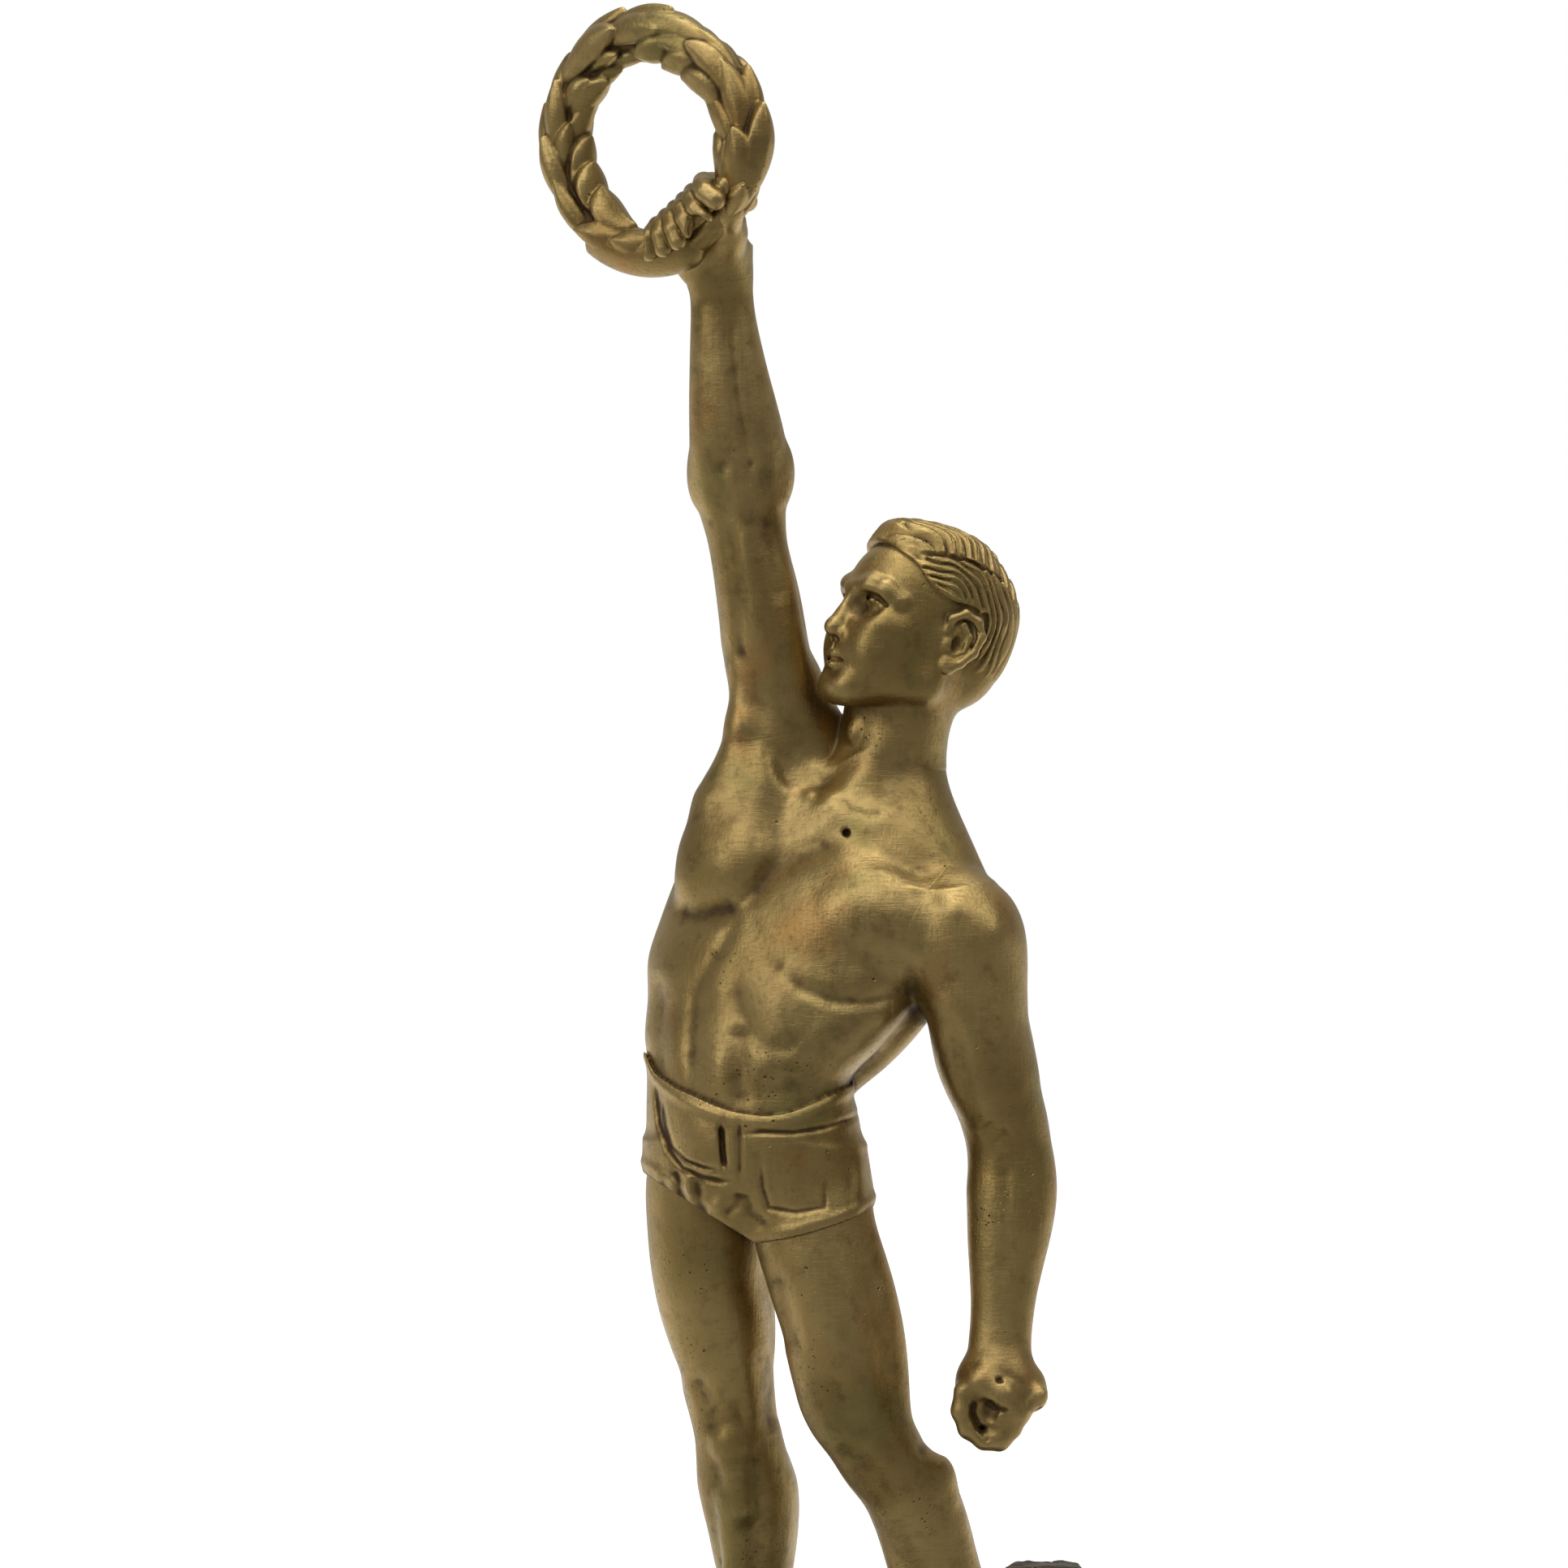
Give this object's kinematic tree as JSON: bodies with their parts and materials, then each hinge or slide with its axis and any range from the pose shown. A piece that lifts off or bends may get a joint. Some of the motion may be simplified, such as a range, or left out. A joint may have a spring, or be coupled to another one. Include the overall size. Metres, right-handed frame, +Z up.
{
  "type": "figure trophy",
  "caption": "Cast brass athlete holding up a laurel wreath, standing beside a rock on a stepped stone base.",
  "frame": {"origin": "centre of the base's underside, on the surface that the trophy stands on", "axes": "+Z up, -Y out of the base's front face with the nameplate, +X to the right seen from the front"},
  "size_m": [0.16, 0.116, 0.4526],
  "materials": {
    "figure_brass": "polished cast brass with brown patina in the hollows",
    "ground_brass": "dark brown patinated cast brass, rough",
    "fastener_steel": "machined steel",
    "stone": "polished near-black marble with pale veins",
    "felt": "green wool felt",
    "plate_brass": "satin brushed brass, blank"
  },
  "bodies": {
    "root": {"torso": "figure_brass", "head": "figure_brass", "right_arm": "figure_brass", "right_hand": "figure_brass", "left_arm": "figure_brass", "right_leg": "figure_brass", "left_leg": "figure_brass", "wreath": "figure_brass", "neck_dowel": "fastener_steel", "right_shoulder_dowel": "fastener_steel", "left_shoulder_dowel": "fastener_steel", "wrist_dowel": "fastener_steel", "right_hip_dowel": "fastener_steel", "left_hip_dowel": "fastener_steel", "ground_plate": "ground_brass", "rock": "ground_brass", "right_foot_stud": "fastener_steel", "left_foot_stud": "fastener_steel", "rock_bolt": "fastener_steel", "right_foot_washer": "fastener_steel", "left_foot_washer": "fastener_steel", "rock_washer": "fastener_steel", "right_foot_nut": "fastener_steel", "left_foot_nut": "fastener_steel", "base_block": "stone", "base_slab": "stone", "felt_pad": "felt", "nameplate": "plate_brass", "nameplate_pins": "plate_brass"}
  },
  "joints": []
}
